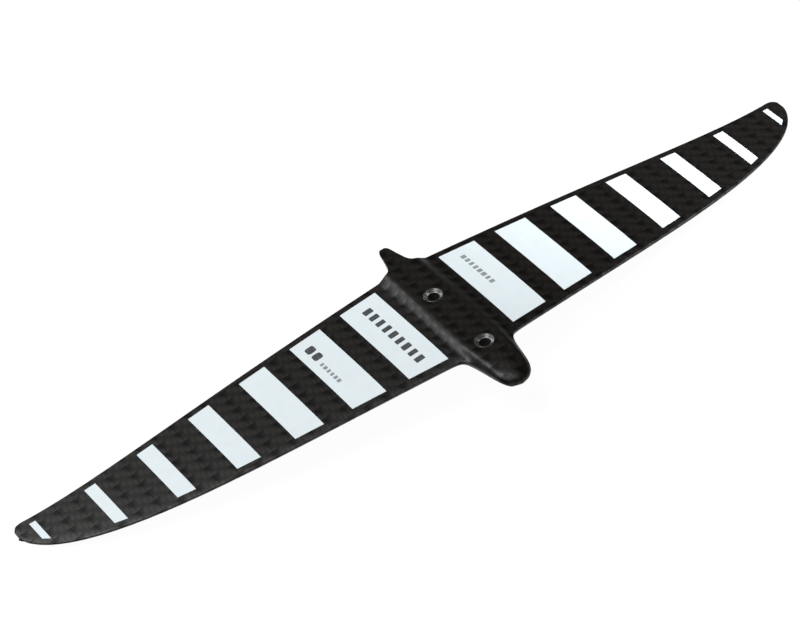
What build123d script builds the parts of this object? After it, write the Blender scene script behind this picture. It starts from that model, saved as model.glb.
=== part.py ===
"""Stabiliser (tail) wing of a hydrofoil: a moulded carbon wing with a bolt-on centre pod.

Frame: the origin is the middle of the flat seat under the pod, halfway between the two bolt axes.
+X runs along the span, +Y points aft to the trailing edge, and +Z points up through the striped side.
All lengths are in millimetres.
"""

import math
import os

from build123d import *

# ---- Driving dimensions: outline seen from above --------------------------------------------------
half_span = 200.8            # centre line to the outermost point of a tip
leading_edge_root_y = -22.8  # where the two straight leading edges would meet
leading_edge_sweep = 30.8    # how far the leading edge runs aft over the half span, as a straight line
tip_sweep = 34.2             # further run aft of the leading edge, all near the tip
tip_sweep_power = 4.8        # larger keeps the leading edge straight for longer
trailing_edge_root_y = 44.4  # trailing edge beside the pod
trailing_edge_dip = 3.7      # how far the trailing edge bows forward towards the tip
trailing_edge_hook = 6.3     # how far it comes back aft in the last part of the span
trailing_edge_hook_power = 8
tip_corner_radius = 5.0      # round corner between the trailing edge and the tip
tip_flat = 0.35              # the lofts stop this far inside the outermost point

# ---- Driving dimensions: heights ------------------------------------------------------------------
pod_height = 9.0             # seat to the top of the pod
pod_step = 1.5               # top of the pod above the wing plane, measured on the centre line
anhedral = 0.0866            # downward slope of each half
anhedral_curve = 0.000132    # extra droop, per millimetre squared of span
anhedral_blend = 4.0         # rounds the V of the two halves where they meet under the pod
edge_drop = 0.35             # chord line below the upper wing plane
crown_ratio = 0.0145         # upper surface above the chord line, as a share of the chord
belly_ratio = 0.071          # lower surface below the chord line, as a share of the chord
edge_thickness = 1.0         # trailing edge
nose_thickness = 0.7         # leading edge, at the parting line

# ---- Driving dimensions: centre pod ---------------------------------------------------------------
pod_nose_length = 23.9       # nose beyond the leading edge
pod_nose_half_width = 9.65
pod_nose_taper = 0.165       # rounds the nose between its shoulders
nose_taper_end = 1.5         # in half widths: further out the taper no longer grows
pod_nose_power = 9.5
pod_tail_length = 15.5       # tail tongue beyond the trailing edge
pod_tail_half_width = 3.75
pod_tail_power = 4.7
pod_flat_half = 7.0          # half width of the level top
pod_shoulder_half = 12.8     # where the shoulders have run out into the wing
pod_nose_tip_height = 3.6    # parting line at the tip of the nose
pod_tail_tip_drop = 0.5      # parting line at the tip of the tail, below the top of the pod
pod_nose_run = 20.5          # length over which the top falls to the nose
pod_chin_run = 16.5          # length over which the underside rises to the nose
pod_tail_run = 4.0           # length over which the top rounds down at the tail
seat_rear_margin = 5.0       # seat behind the rear bolt, before the underside rises to the tail
seat_half_width = 4.0
seat_shoulder_half = 9.2
seat_crown = 0.4             # moulded belly below the seat plane, machined off flat from the skin

# ---- Driving dimensions: shells, core and spar ----------------------------------------------------
skin_thickness = 0.8
skin_blend = 0.12            # rounds the change from a full skin to half of a thin section
bond_gap = 0.06              # glue line between two bonded pieces
rear_wall = 1.5              # the skins are closed on each other this far in from the rear edge
rear_wall_run = 9.0          # length over which they open again to make room for the core
core_gap = 0.11              # thicker glue line between the skins and what they enclose
block_half_width = 13.2      # solid centre blocks inside the pod
core_end_share = 0.79        # the foam and the spar stop at this share of the half span
spar_width = 8.0
spar_chord_share = 0.40      # place of the spar's centre line on the chord
filler_chord_share = 0.68    # the trailing edge filler starts here
thinnest_core = 0.45         # no core piece is feathered thinner than this
feather_halvings = 30        # steps of the search for that place

# ---- Driving dimensions: bolt holes ---------------------------------------------------------------
bolt_spacing = 39.0
bolt_bore_radius = 2.65      # clearance for an M5 screw
countersink_radius = 4.05    # at the top of the pod
countersink_half_angle = 45.0
ferrule_rim = 0.35           # flat ring left around the countersink
ferrule_edge = 0.12          # small chamfer outside that ring
ferrule_neck_wall = 0.95     # wall of the narrower lower part
ferrule_neck_height = 3.2

# ---- Driving dimensions: stripes bonded on the upper skin -----------------------------------------
stripe_count = 7             # on each half
stripe_first_x = 16.6
stripe_tip_margin = 7.1      # outer side of the last stripe to the outermost point of the tip
stripe_widest = 18.4
stripe_step = 2.6            # each stripe is this much narrower than the one before
stripe_rear_margin = 3.4     # stripe end to the trailing edge
stripe_front_margin = 1.7    # stripe end to the leading edge, plus the share of the chord below
stripe_front_share = 0.034
stripe_thickness = 0.12
stripe_gap = 0.03            # glue film under a stripe

# ---- Where the lofts take their sections ----------------------------------------------------------
chord_points = 17            # points along each side of a section
tail_shares = [0, 0.3, 0.57, 0.78, 0.97, 1.16, 1.38, 1.62]  # of the tail's half width
shoulder_shares = [0.72, 0.82, 0.91, 0.97, 1.02, 1.07, 1.13, 1.22]  # of the nose's half width
root_shares = [1.3, 1.4, 1.55, 1.75, 2.06, 2.58, 3.4]  # of the nose's half width
tip_shares = [0.87, 0.90, 0.925, 0.945, 0.962, 0.975, 0.985, 0.992]  # of the half span
wing_first = 45.0            # even stations from here
wing_last_share = 0.84       # to this share of the half span
wing_count = 10
stripe_stations = 5
station_gap = 0.3            # no two stations come closer than this
cut_margin = 1.0             # how far a cutting tool reaches past the surface it cuts

# ---- Sizes that follow from those above -----------------------------------------------------------
SIDES = {"left": -1, "right": 1}
wing_plane_height = pod_height - pod_step
pod_tail_tip_height = pod_height - pod_tail_tip_drop
pod_boat_tail_y = bolt_spacing / 2 + seat_rear_margin
ferrule_radius = countersink_radius + ferrule_rim
ferrule_neck_radius = bolt_bore_radius + ferrule_neck_wall
core_end = core_end_share * half_span
stripe_narrowest = stripe_widest - (stripe_count - 1) * stripe_step
last_stripe_x = half_span - stripe_tip_margin - stripe_narrowest
stripe_pitch = (last_stripe_x - stripe_first_x) / (stripe_count - 1)


def smooth_step(value):
    """0 below 0, 1 above 1, and an even S between."""
    share = min(1.0, max(0.0, value))
    return share * share * (3 - 2 * share)


def gentle_step(value):
    """As smooth_step, and with no sudden change of curvature at either end."""
    share = min(1.0, max(0.0, value))
    return share**3 * (10 - 15 * share + 6 * share**2)


def quarter_round(share):
    """Height of a quarter ellipse: 0 at its foot, 1 where it has levelled off."""
    share = min(1.0, max(0.0, share))
    return math.sqrt(1 - (1 - share) ** 2)


def foil_shape(share):
    """Four-digit foil thickness along the chord: 1 at its thickest and 0 at both ends."""
    share = min(1.0, max(0.0, share))
    body = 2.969 * math.sqrt(share) - 1.260 * share - 3.516 * share**2
    return body + 2.843 * share**3 - 1.036 * share**4


# ---- Outline --------------------------------------------------------------------------------------
def wing_front(x):
    share = min(1.0, abs(x) / half_span)
    bend = 1 - math.sqrt(1 - share**tip_sweep_power)
    return leading_edge_root_y + leading_edge_sweep * share + tip_sweep * bend


def wing_back(x):
    share = min(1.0, abs(x) / half_span)
    back = trailing_edge_root_y - trailing_edge_dip * share**2
    back += trailing_edge_hook * share**trailing_edge_hook_power
    into_corner = max(0.0, abs(x) - (half_span - tip_corner_radius))
    return back - tip_corner_radius + math.sqrt(tip_corner_radius**2 - into_corner**2)


def front(x):
    """Front outline, with the pod's nose flowing into the leading edge."""
    share = abs(x) / pod_nose_half_width
    nose = (1 - pod_nose_taper * min(share, nose_taper_end) ** 2) / (1 + share**pod_nose_power)
    return wing_front(x) - pod_nose_length * nose


def back(x):
    """Rear outline, with the pod's tail flowing into the trailing edge."""
    share = abs(x) / pod_tail_half_width
    return wing_back(x) + pod_tail_length / (1 + share**pod_tail_power)


# ---- Heights --------------------------------------------------------------------------------------
def chord_line(x):
    run = math.sqrt(x * x + anhedral_blend**2)
    return wing_plane_height - edge_drop - anhedral * run - anhedral_curve * x * x


def pod_share(x, flat_half, shoulder_half):
    """1 over the pod's level middle and 0 out on the wing."""
    return 1 - smooth_step((abs(x) - flat_half) / (shoulder_half - flat_half))


def wing_height(x, share, ratio):
    """Distance of one wing surface from the chord line."""
    chord = wing_back(x) - wing_front(x)
    blunt = nose_thickness / 2 * (1 - share) + edge_thickness / 2 * share
    return ratio * chord * foil_shape(share) + blunt


def top(x, share):
    """Height of the upper surface at a share of the section's length, front to back."""
    y = front(x) + share * (back(x) - front(x))
    wing = chord_line(x) + wing_height(x, share, crown_ratio)
    nose_tip = pod_nose_tip_height + nose_thickness / 2
    tail_tip = pod_tail_tip_height + edge_thickness / 2
    at_nose = nose_tip + (pod_height - nose_tip) * quarter_round((y - front(x)) / pod_nose_run)
    at_tail = (pod_height - tail_tip) * (1 - quarter_round((back(x) - y) / pod_tail_run))
    weight = pod_share(x, pod_flat_half, pod_shoulder_half)
    return weight * (at_nose - at_tail) + (1 - weight) * wing


def bottom(x, share):
    """Height of the lower surface at a share of the section's length, before the seat is cut."""
    y = front(x) + share * (back(x) - front(x))
    wing = chord_line(x) - wing_height(x, share, belly_ratio)
    nose_tip = pod_nose_tip_height - nose_thickness / 2
    tail_tip = pod_tail_tip_height - edge_thickness / 2
    chin = (nose_tip + seat_crown) * (1 - quarter_round((y - front(x)) / pod_chin_run))
    tail_end = trailing_edge_root_y + pod_tail_length
    climb = gentle_step((y - pod_boat_tail_y) / (tail_end - pod_boat_tail_y))
    boat_tail = (tail_tip + seat_crown) * climb
    weight = pod_share(x, seat_half_width, seat_shoulder_half)
    return weight * (chin + boat_tail - seat_crown) + (1 - weight) * wing


def skin_depth(x, share):
    """Skin thickness: full over the core, and half of the section where the two skins meet.

    The skins also meet along the blunt rear edge, so that nothing between them shows there.
    """
    half = (top(x, share) - bottom(x, share)) / 2 - bond_gap / 2
    full = math.exp(-skin_thickness / skin_blend)
    thin = math.exp(-half / skin_blend)
    laid = -skin_blend * math.log(full + thin)
    to_back = (1 - share) * (back(x) - front(x))
    closed = gentle_step((rear_wall + rear_wall_run - to_back) / rear_wall_run)
    return laid + (half - laid) * closed


def core_top(x, share):
    return top(x, share) - skin_depth(x, share) - core_gap


def core_floor(x, share):
    return bottom(x, share) + skin_depth(x, share) + core_gap


# ---- Sections and lofts ---------------------------------------------------------------------------
def chord_shares(first, last):
    """Shares along a section, closer together near both ends."""
    steps = chord_points - 1
    even = [(1 - math.cos(math.pi * i / steps)) / 2 for i in range(chord_points)]
    return [first + (last - first) * share for share in even]


def section(x, first, last, upper, lower):
    """Closed wire in the plane at x, between two height functions and two shares of the section."""
    shares = chord_shares(first, last)
    run = [front(x) + share * (back(x) - front(x)) for share in shares]
    over = [Vector(x, y, upper(x, share)) for y, share in zip(run, shares)]
    under = [Vector(x, y, lower(x, share)) for y, share in zip(run, shares)]
    beats = list(range(chord_points))
    edges = [
        Edge.make_spline(over, parameters=beats),
        Edge.make_line(over[-1], under[-1]),
        Edge.make_spline(list(reversed(under)), parameters=beats),
        Edge.make_line(under[0], over[0]),
    ]
    return Wire(edges)


def loft_between(stations, first, last, upper, lower):
    """Solid through one section at each station; first and last give its ends as shares."""
    wires = [section(x, first(x), last(x), upper, lower) for x in stations]
    return Solid.make_loft(wires)


def mirrored(stations):
    """The same stations on both halves."""
    return [-x for x in reversed(stations) if x > 0] + list(stations)


def spread(start, end, count):
    """Even stations from start to end."""
    return [start + (end - start) * i / (count - 1) for i in range(count)]


def spaced(stations):
    """The stations in order, without any that comes too close to the one before."""
    kept = []
    for x in sorted(stations):
        if not kept or x - kept[-1] >= station_gap:
            kept.append(x)
    return kept


# Stations lie close together where the pod's outline turns sharply, and at the tip.
tail_stations = [share * pod_tail_half_width for share in tail_shares]
nose_stations = [share * pod_nose_half_width for share in shoulder_shares + root_shares]
wing_stations = spread(wing_first, wing_last_share * half_span, wing_count)
tip_stations = [share * half_span for share in tip_shares] + [half_span - tip_flat]
half_stations = spaced(tail_stations + nose_stations + wing_stations + tip_stations)
core_start = block_half_width + bond_gap
block_stations = [x for x in half_stations if x < block_half_width - station_gap]
spar_stations = [x for x in half_stations if x < core_end - station_gap]
core_stations = [x for x in spar_stations if x > core_start + station_gap]


def seat_cutter():
    """Box under the seat plane that leaves the pod's underside flat."""
    depth = seat_crown + cut_margin
    length = back(0) - front(0)
    middle = (back(0) + front(0)) / 2
    return Pos(0, middle, -depth / 2) * Box(2 * seat_shoulder_half, length, depth)


def bolt_places():
    return {"front": -bolt_spacing / 2, "rear": bolt_spacing / 2}


def ferrule_pocket(y):
    """Room for one ferrule and its glue line, through the whole pod."""
    above_neck = pod_height - ferrule_neck_height
    wide = Pos(0, y, pod_height) * Cylinder(ferrule_radius + bond_gap, 2 * above_neck)
    neck = Pos(0, y, pod_height / 2) * Cylinder(ferrule_neck_radius + bond_gap, 2 * pod_height)
    return wide + neck


def with_pockets(piece):
    for y in bolt_places().values():
        piece = piece - ferrule_pocket(y)
    return piece


# ---- Places along a section -----------------------------------------------------------------------
def share_at(x, y):
    """Share of the section's length at y."""
    return (y - front(x)) / (back(x) - front(x))


def spar_y(x):
    """Centre line of the spar, rounded where it crosses the middle."""
    run = math.sqrt(x * x + anhedral_blend**2)
    return wing_front(run) + spar_chord_share * (wing_back(run) - wing_front(run))


def core_depth(x, share):
    return core_top(x, share) - core_floor(x, share)


def feather_share(x, thick, thin):
    """Share between a thick place and a thin end where a core piece is down to its thinnest."""
    for _ in range(feather_halvings):
        middle = (thick + thin) / 2
        if core_depth(x, middle) > thinnest_core:
            thick = middle
        else:
            thin = middle
    return thick


def core_front(x):
    return feather_share(x, share_at(x, spar_y(x)), 0.0)


def core_back(x):
    return feather_share(x, share_at(x, spar_y(x)), 1.0)


def spar_front(x):
    return share_at(x, spar_y(x) - spar_width / 2)


def spar_back(x):
    return share_at(x, spar_y(x) + spar_width / 2)


def ahead_of_spar(x):
    return share_at(x, spar_y(x) - spar_width / 2 - bond_gap)


def behind_spar(x):
    return share_at(x, spar_y(x) + spar_width / 2 + bond_gap)


def filler_start(x):
    return filler_chord_share


def ahead_of_filler(x):
    return filler_chord_share - bond_gap / (back(x) - front(x))


def section_start(x):
    return 0.0


def section_end(x):
    return 1.0


def skin_inside_top(x, share):
    return top(x, share) - skin_depth(x, share)


def skin_inside_floor(x, share):
    return bottom(x, share) + skin_depth(x, share)


# ---- Skins ----------------------------------------------------------------------------------------
def upper_skin():
    shell = loft_between(mirrored(half_stations), section_start, section_end, top, skin_inside_top)
    return with_pockets(shell)


def lower_skin():
    shell = loft_between(mirrored(half_stations), section_start, section_end, skin_inside_floor, bottom)
    return with_pockets(shell - seat_cutter())


# ---- Inside the skins -----------------------------------------------------------------------------
def main_spar():
    stations = mirrored(spar_stations + [core_end])
    return loft_between(stations, spar_front, spar_back, core_top, core_floor)


def centre_block(first, last):
    """Solid block between the skins in the middle of the pod."""
    stations = mirrored(block_stations + [block_half_width])
    return with_pockets(loft_between(stations, first, last, core_top, core_floor))


def core_piece(side, first, last):
    """Piece of one half, from the centre blocks out to where the core stops."""
    stations = [side * x for x in [core_start] + core_stations + [core_end]]
    return loft_between(stations, first, last, core_top, core_floor)


# ---- Bolt ferrules --------------------------------------------------------------------------------
def ferrule(y):
    """Countersunk sleeve, flush with the seat and with the top of the pod."""
    cone = (countersink_radius - bolt_bore_radius) / math.tan(math.radians(countersink_half_angle))
    shoulder = ferrule_neck_height + bond_gap
    outline = [
        (bolt_bore_radius, 0),
        (ferrule_neck_radius, 0),
        (ferrule_neck_radius, shoulder),
        (ferrule_radius, shoulder),
        (ferrule_radius, pod_height - ferrule_edge),
        (ferrule_radius - ferrule_edge, pod_height),
        (countersink_radius, pod_height),
        (bolt_bore_radius, pod_height - cone),
    ]
    profile = make_face(Plane.XZ * Polyline(*outline, close=True))
    return Pos(0, y, 0) * revolve(profile, Axis.Z)


# ---- Stripes --------------------------------------------------------------------------------------
def stripe_front(x):
    """Front end of a stripe, a steady distance from the leading edge measured square to it."""
    reach = stripe_narrowest / 2
    slope = (wing_front(abs(x) + reach) - wing_front(abs(x) - reach)) / (2 * reach)
    margin = stripe_front_margin + stripe_front_share * (wing_back(x) - wing_front(x))
    return share_at(x, wing_front(x) + margin * math.sqrt(1 + slope * slope))


def stripe_back(x):
    return share_at(x, wing_back(x) - stripe_rear_margin)


def stripe_under(x, share):
    return top(x, share) + stripe_gap


def stripe_over(x, share):
    return top(x, share) + stripe_gap + stripe_thickness


def stripe(side, number):
    """One stripe, counted from 0 at the pod."""
    inner = stripe_first_x + number * stripe_pitch
    outer = inner + stripe_widest - number * stripe_step
    stations = [side * x for x in spread(inner, outer, stripe_stations)]
    return loft_between(stations, stripe_front, stripe_back, stripe_over, stripe_under)


# ---- Assembly -------------------------------------------------------------------------------------
parts = {
    "upper_skin": upper_skin(),
    "lower_skin": lower_skin(),
    "main_spar": main_spar(),
    "centre_block_front": centre_block(core_front, ahead_of_spar),
    "centre_block_rear": centre_block(behind_spar, core_back),
}
for place, y in bolt_places().items():
    parts[f"ferrule_{place}"] = ferrule(y)
for side_name, side in SIDES.items():
    parts[f"foam_core_front_{side_name}"] = core_piece(side, core_front, ahead_of_spar)
    parts[f"foam_core_rear_{side_name}"] = core_piece(side, behind_spar, ahead_of_filler)
    parts[f"edge_filler_{side_name}"] = core_piece(side, filler_start, core_back)
    for number in range(stripe_count):
        parts[f"stripe_{side_name}_{number + 1}"] = stripe(side, number)

os.makedirs("parts", exist_ok=True)
for name, piece in parts.items():
    export_step(piece, f"parts/{name}.step")
    print(name, round(piece.volume, 1), piece.is_valid)
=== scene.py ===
# %% [markdown]
# # A carbon tail wing for a hydrofoil
# The wing is two moulded carbon skins over a spar and foam, with a pod in the middle that two
# screws pull down on to a fuselage. Pale film stripes lie on its top.
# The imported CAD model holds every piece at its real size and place, so this lesson adds only what
# the eye wants: finishes, printed marks, light, and a camera. Everything is in metres.
# %% Load the frame
import math

import bpy
import mathutils
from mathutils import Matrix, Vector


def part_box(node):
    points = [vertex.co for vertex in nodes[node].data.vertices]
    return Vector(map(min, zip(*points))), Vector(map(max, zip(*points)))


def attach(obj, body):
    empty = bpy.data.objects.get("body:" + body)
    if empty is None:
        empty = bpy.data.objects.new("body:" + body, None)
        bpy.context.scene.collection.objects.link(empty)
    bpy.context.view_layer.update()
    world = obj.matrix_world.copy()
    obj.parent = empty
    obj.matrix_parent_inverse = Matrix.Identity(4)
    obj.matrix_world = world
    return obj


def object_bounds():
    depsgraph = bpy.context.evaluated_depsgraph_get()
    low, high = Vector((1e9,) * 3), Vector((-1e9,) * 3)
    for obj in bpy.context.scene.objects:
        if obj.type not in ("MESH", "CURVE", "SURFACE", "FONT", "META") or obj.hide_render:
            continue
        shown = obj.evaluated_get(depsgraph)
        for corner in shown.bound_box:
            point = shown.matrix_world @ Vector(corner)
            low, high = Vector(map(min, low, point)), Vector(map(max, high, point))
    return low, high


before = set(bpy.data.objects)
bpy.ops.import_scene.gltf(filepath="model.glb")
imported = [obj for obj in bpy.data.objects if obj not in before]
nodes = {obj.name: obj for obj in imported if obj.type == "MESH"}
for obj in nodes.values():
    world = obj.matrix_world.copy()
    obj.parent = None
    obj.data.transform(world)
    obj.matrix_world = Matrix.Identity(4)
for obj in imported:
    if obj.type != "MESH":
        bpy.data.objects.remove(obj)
cad_box = [list(corner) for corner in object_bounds()]
MM = 0.001
print("CAD nodes:", len(nodes), "box in mm:", [[round(v / MM, 1) for v in corner] for corner in cad_box])

# %% [markdown]
# ## The camera
# Something long and thin is best seen through a long lens from far away, so that both tips keep
# their true proportions. The camera looks down on the striped side from the left
# of the nose, and is rolled a little, which lays the wing across the frame from corner to corner.
# Its place is worked out from three angles, a distance and the point that it looks at.
# %% Place the camera
AZIMUTH = -25.29      # degrees round from straight in front of the nose, towards the left tip
ELEVATION = 40.91
ROLL = -12.18
DISTANCE = 1.5853
LENS = 168.24         # millimetres, on a sensor 36 mm wide
WING_MIDDLE = mathutils.Vector((0, 13.35, 7.5)) * MM
SLIDE_RIGHT = -17.66 * MM
SLIDE_UP = -4.32 * MM


def view_axes(azimuth, elevation, roll):
    """Right, up and back directions of a camera at these angles, in degrees."""
    a, e, r = (math.radians(angle) for angle in (azimuth, elevation, roll))
    back = mathutils.Vector((math.sin(a) * math.cos(e), -math.cos(a) * math.cos(e), math.sin(e)))
    level = mathutils.Vector((0, 0, 1)).cross(back).normalized()
    right = level * math.cos(r) + back.cross(level) * math.sin(r)
    return right, back.cross(right), back


right, up, back = view_axes(AZIMUTH, ELEVATION, ROLL)
aim = WING_MIDDLE + SLIDE_RIGHT * right + SLIDE_UP * up
camera_data = bpy.data.cameras.new("camera")
camera_data.lens = LENS
camera_data.sensor_width = 36
camera_data.clip_end = 20
camera = bpy.data.objects.new("camera", camera_data)
turn = mathutils.Matrix((right, up, back)).transposed().to_4x4()
camera.matrix_world = mathutils.Matrix.Translation(aim + DISTANCE * back) @ turn
bpy.context.scene.collection.objects.link(camera)
bpy.context.scene.camera = camera
print("camera at", [round(v, 3) for v in camera.matrix_world.translation])

# %% [markdown]
# ## Colours and nodes
# Colours are noted the way a paint chart gives them, as sRGB hex, and turned to the linear
# values that a shader works in. Every material and every modifier below is a small tree of nodes,
# so one helper adds a node, sets its properties and plugs in what feeds it. A plain number stays
# on the socket, and another node (or one of its sockets) becomes a link.
# %% Two helpers
def linear(hex_colour):
    """Linear RGBA of an sRGB hex colour."""
    values = [int(hex_colour[i:i + 2], 16) / 255 for i in (1, 3, 5)]
    return [v / 12.92 if v <= 0.04045 else ((v + 0.055) / 1.055) ** 2.4 for v in values] + [1.0]


def add(tree, kind, inputs=None, **settings):
    """Add a node; inputs maps a socket's name or number to a value, a node or a socket."""
    node = tree.nodes.new(kind)
    for name, value in settings.items():
        setattr(node, name, value)
    for key, value in (inputs or {}).items():
        if isinstance(value, bpy.types.Node):
            value = next(socket for socket in value.outputs if socket.enabled)
        if isinstance(value, bpy.types.NodeSocket):
            tree.links.new(value, node.inputs[key])
        else:
            node.inputs[key].default_value = value
    return node


def new_material(name):
    """An empty material with its node tree."""
    material = bpy.data.materials.new(name)
    material.use_nodes = True
    material.node_tree.nodes.clear()
    return material, material.node_tree


def dress(names, material):
    """Give the named CAD nodes one material."""
    for name in names:
        nodes[name].data.materials.clear()
        nodes[name].data.materials.append(material)
    print(material.name, "on", len(names), "pieces")


# %% [markdown]
# ## Carbon twill under a satin coat
# Both skins are carbon cloth in epoxy, with a thin satin coat over it. The cloth is a two-by-two
# twill: each tow goes over two and under two, one step further along on every row, which draws
# fine diagonal lines. Where four tows meet the cloth dives, and under the coat this shows as a
# soft dark patch in every repeat. The patch narrows to a point towards the leading edge.
# The weave is worked out from the place on the wing: the repeat is divided into cells, and
# inside each cell simple distances draw the patch and the tows. So the pattern stays at its real
# size in every view.
# %% Sizes of the weave
REPEAT = (8.5 * MM, 6.6 * MM)     # one repeat of the cloth, along the span and along the chord
TOWS = 4                          # tows in one repeat, each way
WEAVE_TURN = math.radians(2.5)    # the cloth lies a little askew in the mould
WANDER = 1.5 * MM                 # how far the tows stray from true
PATCH = (2.9 * MM, 2.3 * MM)      # half width and half length of a dark patch

# %% The weave's pattern, as a group of nodes
def weave_group():
    """Node group: from a place to the patch (0 to 1), the tow's crown (0 to 1) and warp or weft."""
    tree = bpy.data.node_groups.new("twill_weave", "ShaderNodeTree")
    tree.interface.new_socket("Place", in_out="INPUT", socket_type="NodeSocketVector")
    for name in ("Patch", "Crown", "Warp"):
        tree.interface.new_socket(name, in_out="OUTPUT", socket_type="NodeSocketFloat")
    start = add(tree, "NodeGroupInput")
    # The tows wander: a slow noise moves the place by about a millimetre.
    noise = add(tree, "ShaderNodeTexNoise", {"Vector": start, "Scale": 240.0, "Detail": 2.0})
    centred = add(tree, "ShaderNodeVectorMath",
                  {0: noise.outputs["Color"], 1: (0.5, 0.5, 0.5)}, operation="SUBTRACT")
    stray = add(tree, "ShaderNodeVectorMath", {0: centred, "Scale": WANDER}, operation="SCALE")
    place = add(tree, "ShaderNodeVectorMath", {0: start, 1: stray}, operation="ADD")
    cells = add(tree, "ShaderNodeVectorMath", {0: place, 1: (*REPEAT, 1.0)}, operation="DIVIDE")
    # Inside a cell the place runs from -0.5 to 0.5 each way.
    inside = add(tree, "ShaderNodeVectorMath", {0: cells}, operation="FRACTION")
    split = add(tree, "ShaderNodeSeparateXYZ", {0: inside})
    across = add(tree, "ShaderNodeMath", {0: split.outputs["X"], 1: 0.5}, operation="SUBTRACT")
    along = add(tree, "ShaderNodeMath", {0: split.outputs["Y"], 1: 0.5}, operation="SUBTRACT")
    side = add(tree, "ShaderNodeMath", {0: across}, operation="ABSOLUTE")
    # The patch is as wide as it is far from its point, and is cut off square at its wide end.
    width = add(tree, "ShaderNodeMapRange",
                {0: along, 1: -PATCH[1] / REPEAT[1], 2: PATCH[1] / REPEAT[1],
                 3: 0.02, 4: PATCH[0] / REPEAT[0]})
    room = add(tree, "ShaderNodeMath", {0: width, 1: side}, operation="SUBTRACT")
    edge = add(tree, "ShaderNodeMapRange",
               {0: room, 1: -0.10, 2: 0.14}, interpolation_type="SMOOTHSTEP")
    end = add(tree, "ShaderNodeMapRange",
              {0: along, 1: 0.36, 2: 0.22}, interpolation_type="SMOOTHSTEP")
    patch = add(tree, "ShaderNodeMath", {0: edge, 1: end}, operation="MULTIPLY")
    # Tows: four each way in a repeat. Row plus column, taken modulo four, says which is on top.
    tows = add(tree, "ShaderNodeVectorMath", {0: cells, "Scale": float(TOWS)}, operation="SCALE")
    number = add(tree, "ShaderNodeVectorMath", {0: tows}, operation="FLOOR")
    count = add(tree, "ShaderNodeSeparateXYZ", {0: number})
    total = add(tree, "ShaderNodeMath", {0: count.outputs["X"], 1: count.outputs["Y"]})
    step = add(tree, "ShaderNodeMath", {0: total, 1: float(TOWS)}, operation="FLOORED_MODULO")
    warp = add(tree, "ShaderNodeMath", {0: step, 1: TOWS / 2 - 0.5}, operation="LESS_THAN")
    # Each tow is a low arch: highest along its middle, lowest at its sides.
    in_tow = add(tree, "ShaderNodeVectorMath", {0: tows}, operation="FRACTION")
    half = add(tree, "ShaderNodeVectorMath", {0: in_tow, 1: (0.5, 0.5, 0.5)}, operation="SUBTRACT")
    tow_side = add(tree, "ShaderNodeSeparateXYZ", {0: half})
    across_tow = add(tree, "ShaderNodeMix",
                     {"Factor": warp, "A": tow_side.outputs["Y"], "B": tow_side.outputs["X"]})
    squared = add(tree, "ShaderNodeMath", {0: across_tow, 1: across_tow}, operation="MULTIPLY")
    crown = add(tree, "ShaderNodeMath", {0: squared, 1: -4.0, 2: 1.0}, operation="MULTIPLY_ADD")
    add(tree, "NodeGroupOutput", {"Patch": patch, "Crown": crown, "Warp": warp})
    return tree


weave = weave_group()
print("weave repeat", [round(v / MM, 2) for v in REPEAT], "mm,",
      "tow", round(REPEAT[0] / TOWS / MM, 2), "mm")

# %% [markdown]
# The colour runs from near black in a patch to a warm charcoal on the floats. The warp is painted a
# shade lighter than the weft, a painted sheen for the light along its fibres, and each tow is painted
# lighter along its crown than at its sides, a painted shade of its arch. The same weave drives a
# slight bump, and the floats shine more than the patches, where resin has pooled over dark gaps.
# A much finer noise gives the satin coat its grain: that grain spreads the highlight along the
# pod's shoulder instead of leaving a hard mirror line.
# %% Carbon skin material
CARBON_DARK = "#020202"
CARBON_LIGHT = "#151311"
PRINT_THROUGH = 0.03 * MM         # height of the weave that shows through the coat
COAT_GRAIN = 1600.0               # noise cells per metre: satin grain of about 0.6 mm


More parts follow.
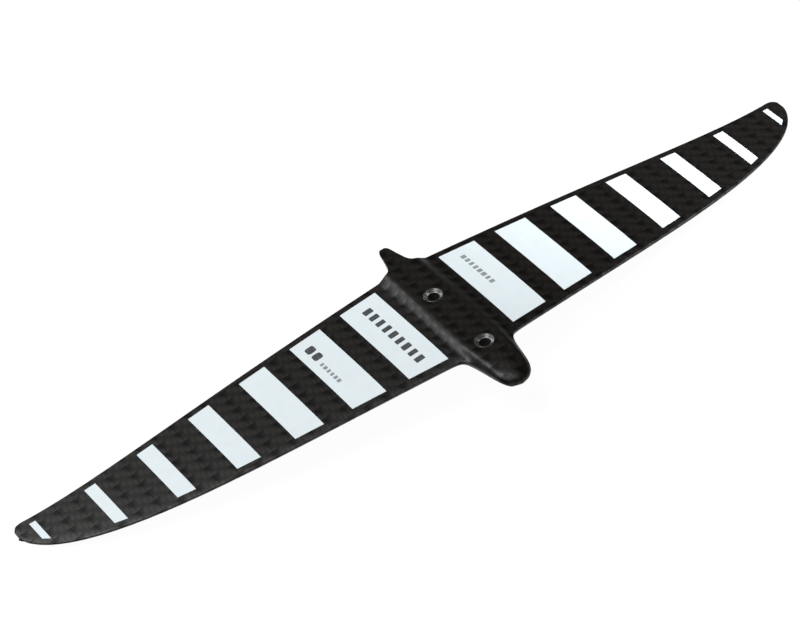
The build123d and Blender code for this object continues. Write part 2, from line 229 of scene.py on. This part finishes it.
def carbon_material():
    material, tree = new_material("carbon_twill_satin_coat")
    place = add(tree, "ShaderNodeTexCoord")
    turned = add(tree, "ShaderNodeMapping",
                 {"Vector": place.outputs["Object"], "Rotation": (0, 0, WEAVE_TURN)})
    cloth = add(tree, "ShaderNodeGroup", node_tree=weave)
    tree.links.new(turned.outputs[0], cloth.inputs["Place"])
    # Painted sheen and shade: the warp is painted lighter than the weft, and each tow lighter along its
    # crown than at its sides; the patches are dark.
    warp_painted_sheen = add(tree, "ShaderNodeMapRange", {0: cloth.outputs["Warp"], 3: 0.72, 4: 1.0})
    crown_painted_shade = add(tree, "ShaderNodeMapRange", {0: cloth.outputs["Crown"], 3: 0.75, 4: 1.0})
    floats = add(tree, "ShaderNodeMath", {0: warp_painted_sheen, 1: crown_painted_shade}, operation="MULTIPLY")
    open_cloth = add(tree, "ShaderNodeMath",
                     {0: cloth.outputs["Patch"], 1: -0.6, 2: 1.0}, operation="MULTIPLY_ADD")
    weave_and_painted_sheen = add(tree, "ShaderNodeMath", {0: floats, 1: open_cloth}, operation="MULTIPLY")
    # This colour carries the painted sheen and shade of the tows as well as the weave's dark patches.
    colour = add(tree, "ShaderNodeMix",
                 {"Factor": weave_and_painted_sheen, "A": linear(CARBON_DARK), "B": linear(CARBON_LIGHT)},
                 data_type="RGBA")
    grain = add(tree, "ShaderNodeTexNoise",
                {"Vector": place.outputs["Object"], "Scale": COAT_GRAIN, "Detail": 3.0})
    roughness = add(tree, "ShaderNodeMapRange", {0: grain, 3: 0.36, 4: 0.46})
    weave_bump = add(tree, "ShaderNodeBump",
                     {"Height": cloth.outputs["Crown"], "Distance": PRINT_THROUGH, "Strength": 0.35})
    coat_bump = add(tree, "ShaderNodeBump",
                    {"Height": grain, "Distance": 0.02 * MM, "Strength": 0.25, "Normal": weave_bump})
    shine = add(tree, "ShaderNodeMapRange", {0: weave_and_painted_sheen, 1: 0.2, 2: 0.95, 3: 0.12, 4: 0.39})
    shader = add(tree, "ShaderNodeBsdfPrincipled",
                 {"Base Color": colour, "Roughness": roughness, "Normal": coat_bump,
                  "Specular IOR Level": shine, "IOR": 1.5})
    add(tree, "ShaderNodeOutputMaterial", {"Surface": shader})
    return material


carbon = carbon_material()
dress(["upper_skin", "lower_skin"], carbon)

# %% [markdown]
# ## Satin film stripes
# The stripes are cut from pale blue-white film and stuck on the upper skin. Film is a plain,
# even finish, and what makes it real is how little it varies: a faint mottle in its colour,
# a slight orange peel, and a soft sheen.
# %% Stripe film material
FILM = "#E1EBEE"
FILM_SHADE = "#D8E2E7"


def film_material():
    material, tree = new_material("satin_vinyl_film")
    place = add(tree, "ShaderNodeTexCoord").outputs["Object"]
    mottle = add(tree, "ShaderNodeTexNoise", {"Vector": place, "Scale": 180.0, "Detail": 3.0})
    colour = add(tree, "ShaderNodeMix",
                 {"Factor": mottle, "A": linear(FILM_SHADE), "B": linear(FILM)}, data_type="RGBA")
    peel = add(tree, "ShaderNodeTexNoise", {"Vector": place, "Scale": 900.0, "Detail": 2.0})
    roughness = add(tree, "ShaderNodeMapRange", {0: peel, 3: 0.42, 4: 0.5})
    bump = add(tree, "ShaderNodeBump", {"Height": peel, "Distance": 0.02 * MM, "Strength": 0.2})
    shader = add(tree, "ShaderNodeBsdfPrincipled",
                 {"Base Color": colour, "Roughness": roughness, "Normal": bump, "IOR": 1.46})
    add(tree, "ShaderNodeOutputMaterial", {"Surface": shader})
    return material


film = film_material()
dress([name for name in nodes if name.startswith("stripe")], film)

# %% [markdown]
# ## Turned steel ferrules
# A ferrule is a stainless sleeve with a countersink, turned on a lathe. Turning leaves rings
# round its axis, so the pattern depends only on the distance from the bolt's axis. Both bolts lie
# on the centre line, the same distance before and behind the origin, so one material serves both:
# the distance is measured in a plane folded over at y = 0. Down in the bore the steel is painted
# near black, dull and not metallic: painted shade for the deep hole, so that it looks black.
# %% Ferrule steel material
front_low, front_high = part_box("ferrule_front")
bolt_y = abs(front_low[1] + front_high[1]) / 2
BORE_RADIUS = 2.65 * MM
RING_PITCH = 0.25 * MM            # feed of the lathe, drawn coarse enough to show


def steel_material():
    material, tree = new_material("turned_stainless_steel")
    place = add(tree, "ShaderNodeSeparateXYZ", {0: add(tree, "ShaderNodeTexCoord").outputs["Object"]})
    folded = add(tree, "ShaderNodeMath", {0: place.outputs["Y"]}, operation="ABSOLUTE")
    from_bolt = add(tree, "ShaderNodeMath", {0: folded, 1: bolt_y}, operation="SUBTRACT")
    flat = add(tree, "ShaderNodeCombineXYZ", {"X": place.outputs["X"], "Y": from_bolt})
    radius = add(tree, "ShaderNodeVectorMath", {0: flat}, operation="LENGTH").outputs["Value"]
    turns = add(tree, "ShaderNodeMath", {0: radius, 1: math.tau / RING_PITCH}, operation="MULTIPLY")
    rings = add(tree, "ShaderNodeMath", {0: turns}, operation="SINE")
    # Painted shade: inside the bore the steel is painted near black, dull and not metallic, for the
    # shade down the hole.
    painted_bore_shade = add(tree, "ShaderNodeMapRange",
                  {0: radius, 1: BORE_RADIUS + 0.25 * MM, 2: BORE_RADIUS + 0.02 * MM})
    colour = add(tree, "ShaderNodeMix",
                 {"Factor": painted_bore_shade, "A": linear("#C2C2C0"), "B": linear("#0C0B0A")}, data_type="RGBA")
    roughness = add(tree, "ShaderNodeMapRange", {0: painted_bore_shade, 3: 0.27, 4: 0.9})
    bump = add(tree, "ShaderNodeBump", {"Height": rings, "Distance": 0.01 * MM, "Strength": 0.3})
    metallic = add(tree, "ShaderNodeMath", {0: 1.0, 1: painted_bore_shade}, operation="SUBTRACT")
    shader = add(tree, "ShaderNodeBsdfPrincipled",
                 {"Base Color": colour, "Metallic": metallic, "Roughness": roughness, "Normal": bump})
    add(tree, "ShaderNodeOutputMaterial", {"Surface": shader})
    return material


steel = steel_material()
dress(["ferrule_front", "ferrule_rear"], steel)
print("bolt axes at y = +-", round(bolt_y / MM, 2), "mm")

# %% [markdown]
# ## What lies inside
# Nobody sees the core until the wing is opened, but each piece still gets the finish of what it
# is made of: the spar is straight carbon tows, the blocks are sawn glass laminate in thin layers,
# the foam is a closed-cell board, and the filler is resin thickened with black powder.
# Each is one noise or wave pattern, stretched the way the real material grows or is laid.
# %% Inner materials
def plain_grain(name, dark, light, stretch, scale, rough, bump_height):
    """Two colours mixed by a noise that is stretched along the material's grain."""
    material, tree = new_material(name)
    place = add(tree, "ShaderNodeTexCoord").outputs["Object"]
    stretched = add(tree, "ShaderNodeMapping", {"Vector": place, "Scale": stretch})
    grain = add(tree, "ShaderNodeTexNoise", {"Vector": stretched, "Scale": scale, "Detail": 4.0})
    colour = add(tree, "ShaderNodeMix",
                 {"Factor": grain, "A": linear(dark), "B": linear(light)}, data_type="RGBA")
    bump = add(tree, "ShaderNodeBump", {"Height": grain, "Distance": bump_height, "Strength": 0.5})
    shader = add(tree, "ShaderNodeBsdfPrincipled",
                 {"Base Color": colour, "Roughness": rough, "Normal": bump})
    add(tree, "ShaderNodeOutputMaterial", {"Surface": shader})
    return material


# Straight tows run along the span, so the noise is drawn out thirty times in X.
spar_carbon = plain_grain("unidirectional_carbon", "#0B0B0B", "#2B2B2B",
                          (0.03, 1, 1), 2500.0, 0.4, 0.02 * MM)
# Layers of glass cloth lie level, a quarter of a millimetre each, so Z is pressed together.
glass_block = plain_grain("glass_epoxy_laminate", "#59642F", "#8F9A5B",
                          (0.1, 0.1, 1), 4000.0, 0.55, 0.02 * MM)
# Cells of a fine foam board are about half a millimetre across, the same every way.
foam = plain_grain("closed_cell_foam", "#C9B98C", "#EADFBE",
                   (1, 1, 1), 2000.0, 0.9, 0.15 * MM)
filler = plain_grain("thickened_epoxy", "#101010", "#262524",
                     (1, 1, 1), 600.0, 0.5, 0.02 * MM)
dress(["main_spar"], spar_carbon)
dress(["centre_block_front", "centre_block_rear"], glass_block)
dress([name for name in nodes if name.startswith("foam_core")], foam)
dress([name for name in nodes if name.startswith("edge_filler")], filler)

# %% [markdown]
# ## Printed marks
# Such wings carry printing on the stripes beside the pod. Words and badges belong to their maker,
# so rows of plain bars stand in for them here, as long and as heavy as a line of print. A row is
# a thing that repeats and lies on a curved surface, which is what Geometry Nodes are for: a line
# of points, a rounded bar on each, every corner dropped on to the film by a ray, and the ink given
# a little thickness so that it is a closed solid. The sizes are inputs, so one tree makes all
# the rows.
# %% The tree that prints a row
INK_LIFT = 0.004 * MM             # the ink starts this far above the film
INK_THICKNESS = 0.02 * MM
START_HEIGHT = 50 * MM            # the points start well above the wing
RAY_REACH = 200 * MM              # and the rays are long enough to reach it
BAR_INPUTS = {"Count": "Int", "Pitch": "Float", "Length": "Float", "Shortest": "Float",
              "Width": "Float", "Corner": "Float", "Row X": "Float", "First Y": "Float",
              "Seed": "Int", "Film": "Object", "Ink": "Material"}


def print_row_tree():
    """Geometry Nodes tree that prints a row of rounded bars on a piece of film."""
    tree = bpy.data.node_groups.new("print_row", "GeometryNodeTree")
    for name, kind in BAR_INPUTS.items():
        tree.interface.new_socket(name, in_out="INPUT", socket_type="NodeSocket" + kind)
    tree.interface.new_socket("Geometry", in_out="OUTPUT", socket_type="NodeSocketGeometry")
    given = add(tree, "NodeGroupInput").outputs
    # Points in a row, high above the film.
    start = add(tree, "ShaderNodeCombineXYZ", {"X": given["Row X"], "Y": given["First Y"],
                                                  "Z": START_HEIGHT})
    step = add(tree, "ShaderNodeCombineXYZ", {"Y": given["Pitch"]})
    line = add(tree, "GeometryNodeMeshLine",
               {"Count": given["Count"], "Start Location": start, "Offset": step}, mode="OFFSET")
    # One rounded bar, and a random length for each copy, as letters differ in width.
    bar = add(tree, "GeometryNodeCurvePrimitiveQuadrilateral",
              {"Width": given["Width"], "Height": given["Length"]})
    rounded = add(tree, "GeometryNodeFilletCurve",
                  {"Curve": bar, "Radius": given["Corner"], "Count": 4, "Limit Radius": True},
                  mode="POLY")
    face = add(tree, "GeometryNodeFillCurve", {0: rounded})
    chance = add(tree, "FunctionNodeRandomValue", {"Min": given["Shortest"], "Max": 1.0,
                                                   "Seed": given["Seed"]}, data_type="FLOAT")
    chance_value = next(socket for socket in chance.outputs if socket.enabled)
    size = add(tree, "ShaderNodeCombineXYZ", {"X": 1.0, "Y": chance_value, "Z": 1.0})
    copies = add(tree, "GeometryNodeInstanceOnPoints",
                 {"Points": line, "Instance": face, "Scale": size})
    bars = add(tree, "GeometryNodeRealizeInstances", {0: copies})
    # A ray straight down finds the film under every corner.
    surface = add(tree, "GeometryNodeObjectInfo", {"Object": given["Film"]})
    ray = add(tree, "GeometryNodeRaycast",
              {"Target Geometry": surface.outputs["Geometry"], "Ray Direction": (0, 0, -1),
               "Ray Length": RAY_REACH})
    lifted = add(tree, "ShaderNodeVectorMath",
                 {0: ray.outputs["Hit Position"], 1: (0, 0, INK_LIFT)}, operation="ADD")
    laid = add(tree, "GeometryNodeSetPosition", {"Geometry": bars, "Position": lifted})
    # The ink: the same faces raised by its thickness, with walls, and a flipped copy as its base.
    raised = add(tree, "GeometryNodeExtrudeMesh",
                 {"Mesh": laid, "Offset Scale": INK_THICKNESS, "Individual": False}, mode="FACES")
    base = add(tree, "GeometryNodeFlipFaces", {"Mesh": laid})
    both = add(tree, "GeometryNodeJoinGeometry", {0: raised.outputs["Mesh"]})
    tree.links.new(base.outputs[0], both.inputs[0])
    closed = add(tree, "GeometryNodeMergeByDistance", {"Geometry": both, "Distance": 0.002 * MM})
    inked = add(tree, "GeometryNodeSetMaterial", {"Geometry": closed, "Material": given["Ink"]})
    add(tree, "NodeGroupOutput", {"Geometry": inked})
    return tree


row_tree = print_row_tree()
print("print row tree:", len(row_tree.nodes), "nodes,", len(BAR_INPUTS), "inputs")

# %% Inks
def ink_material(name, hex_colour):
    """Screen ink: a thin matt film with a faint unevenness from the mesh it was pushed through."""
    material, tree = new_material(name)
    place = add(tree, "ShaderNodeTexCoord").outputs["Object"]
    mesh = add(tree, "ShaderNodeTexNoise", {"Vector": place, "Scale": 1500.0, "Detail": 2.0})
    thin = add(tree, "ShaderNodeMapRange", {0: mesh, 1: 0.35, 2: 0.85, 3: 0.0, 4: 0.12})
    colour = add(tree, "ShaderNodeMix",
                 {"Factor": thin, "A": linear(hex_colour), "B": linear(FILM_SHADE)}, data_type="RGBA")
    shader = add(tree, "ShaderNodeBsdfPrincipled", {"Base Color": colour, "Roughness": 0.6})
    add(tree, "ShaderNodeOutputMaterial", {"Surface": shader})
    return material


dark_ink = ink_material("charcoal_screen_ink", "#2B2D30")
grey_ink = ink_material("grey_screen_ink", "#84898D")

# %% Print the rows
ROWS = {
    "print_left_heavy": {"Film": "stripe_left_1", "Ink": dark_ink, "Row X": -25.3, "First Y": -7.2,
                         "Count": 9, "Pitch": 5.05, "Length": 3.2, "Shortest": 0.8, "Width": 4.4,
                         "Corner": 0.5, "Seed": 4},
    "print_left_large": {"Film": "stripe_left_2", "Ink": dark_ink, "Row X": -55.4, "First Y": 27.4,
                         "Count": 2, "Pitch": 5.6, "Length": 4.4, "Shortest": 0.9, "Width": 4.4,
                         "Corner": 1.2, "Seed": 2},
    "print_left_small": {"Film": "stripe_left_2", "Ink": grey_ink, "Row X": -56.6, "First Y": 8.2,
                         "Count": 6, "Pitch": 2.7, "Length": 2.0, "Shortest": 0.7, "Width": 1.9,
                         "Corner": 0.3, "Seed": 7},
    "print_right_small": {"Film": "stripe_right_1", "Ink": grey_ink, "Row X": 25.0, "First Y": 12.0,
                          "Count": 8, "Pitch": 3.15, "Length": 2.4, "Shortest": 0.7, "Width": 2.4,
                          "Corner": 0.3, "Seed": 9},
}
LENGTHS = ("Row X", "First Y", "Pitch", "Length", "Width", "Corner")


def print_row(name, values):
    """Run the tree once with these values and keep its result as a plain mesh."""
    piece = bpy.data.objects.new(name, bpy.data.meshes.new(name))
    bpy.context.scene.collection.objects.link(piece)
    modifier = piece.modifiers.new("print_row", "NODES")
    modifier.node_group = row_tree
    sockets = {item.name: item.identifier for item in row_tree.interface.items_tree
               if item.in_out == "INPUT"}
    for key, value in values.items():
        if key == "Film":
            value = nodes[value]
        elif key in LENGTHS:
            value = value * MM
        modifier[sockets[key]] = value
    graph = bpy.context.evaluated_depsgraph_get()
    mesh = bpy.data.meshes.new_from_object(piece.evaluated_get(graph))
    piece.modifiers.clear()
    piece.data = mesh
    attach(piece, "root")
    print(name, len(mesh.polygons), "faces,", values["Count"], "bars")


for row_name, row_values in ROWS.items():
    print_row(row_name, row_values)

# %% [markdown]
# ## Floor and light
# The wing lies on a white table that glows from below, so its shadow is only a breath.
# A soft key light, high on the left, gives the film its white. A spot from the right front lifts
# the outer stripes of the right half to full white. A softbox behind and to the left does one
# job: it is what the pod's left shoulder mirrors, as one narrow streak. The room is nearly dark,
# so that the carbon stays black.
# %% Floor
FLOOR_GAP = 0.5 * MM
floor_height = cad_box[0][2] - FLOOR_GAP
bpy.ops.mesh.primitive_plane_add(size=12, location=(0, 0, floor_height))
floor = bpy.context.object
floor.name = "floor"
table_white, table_tree = new_material("white_light_table")
table = add(table_tree, "ShaderNodeBsdfPrincipled",
            {"Base Color": linear("#404040"), "Roughness": 0.9, "Emission Color": linear("#FFFFFF"),
             "Emission Strength": 0.97, "Specular IOR Level": 0.0})
add(table_tree, "ShaderNodeOutputMaterial", {"Surface": table})
floor.data.materials.append(table_white)
print("floor at", round(floor_height / MM, 2), "mm")

# %% Lights
def light(name, kind, direction, energy, distance=1.0, target=(0, 0, 0), **settings):
    """A light that shines at a target from a direction."""
    data = bpy.data.lights.new(name, kind)
    data.energy = energy
    for key, value in settings.items():
        setattr(data, key, value)
    lamp = bpy.data.objects.new(name, data)
    away = mathutils.Vector(direction).normalized()
    lamp.location = mathutils.Vector(target) + away * distance
    lamp.rotation_euler = away.to_track_quat("Z", "Y").to_euler()
    bpy.context.scene.collection.objects.link(lamp)
    print(name, "from", [round(v, 2) for v in away])


light("key", "SUN", (-0.35, 0.1, 0.93), 2.6, angle=math.radians(36))
light("right_spot", "SPOT", (0.75, -0.3, 0.75), 46.0, distance=1.0,
      target=(0.205, 0.02, 0), spot_size=math.radians(13), spot_blend=0.35, shadow_soft_size=0.06)
light("shoulder_softbox", "AREA", (-0.35, 0.66, 0.67), 6.0, distance=1.4,
      shape="RECTANGLE", size=0.45, size_y=0.7)
world = bpy.data.worlds.new("studio")
bpy.context.scene.world = world
world.use_nodes = True
world.node_tree.nodes["Background"].inputs["Color"].default_value = linear("#FFFFFF")
world.node_tree.nodes["Background"].inputs["Strength"].default_value = 0.05
bpy.context.scene.view_settings.view_transform = "Standard"
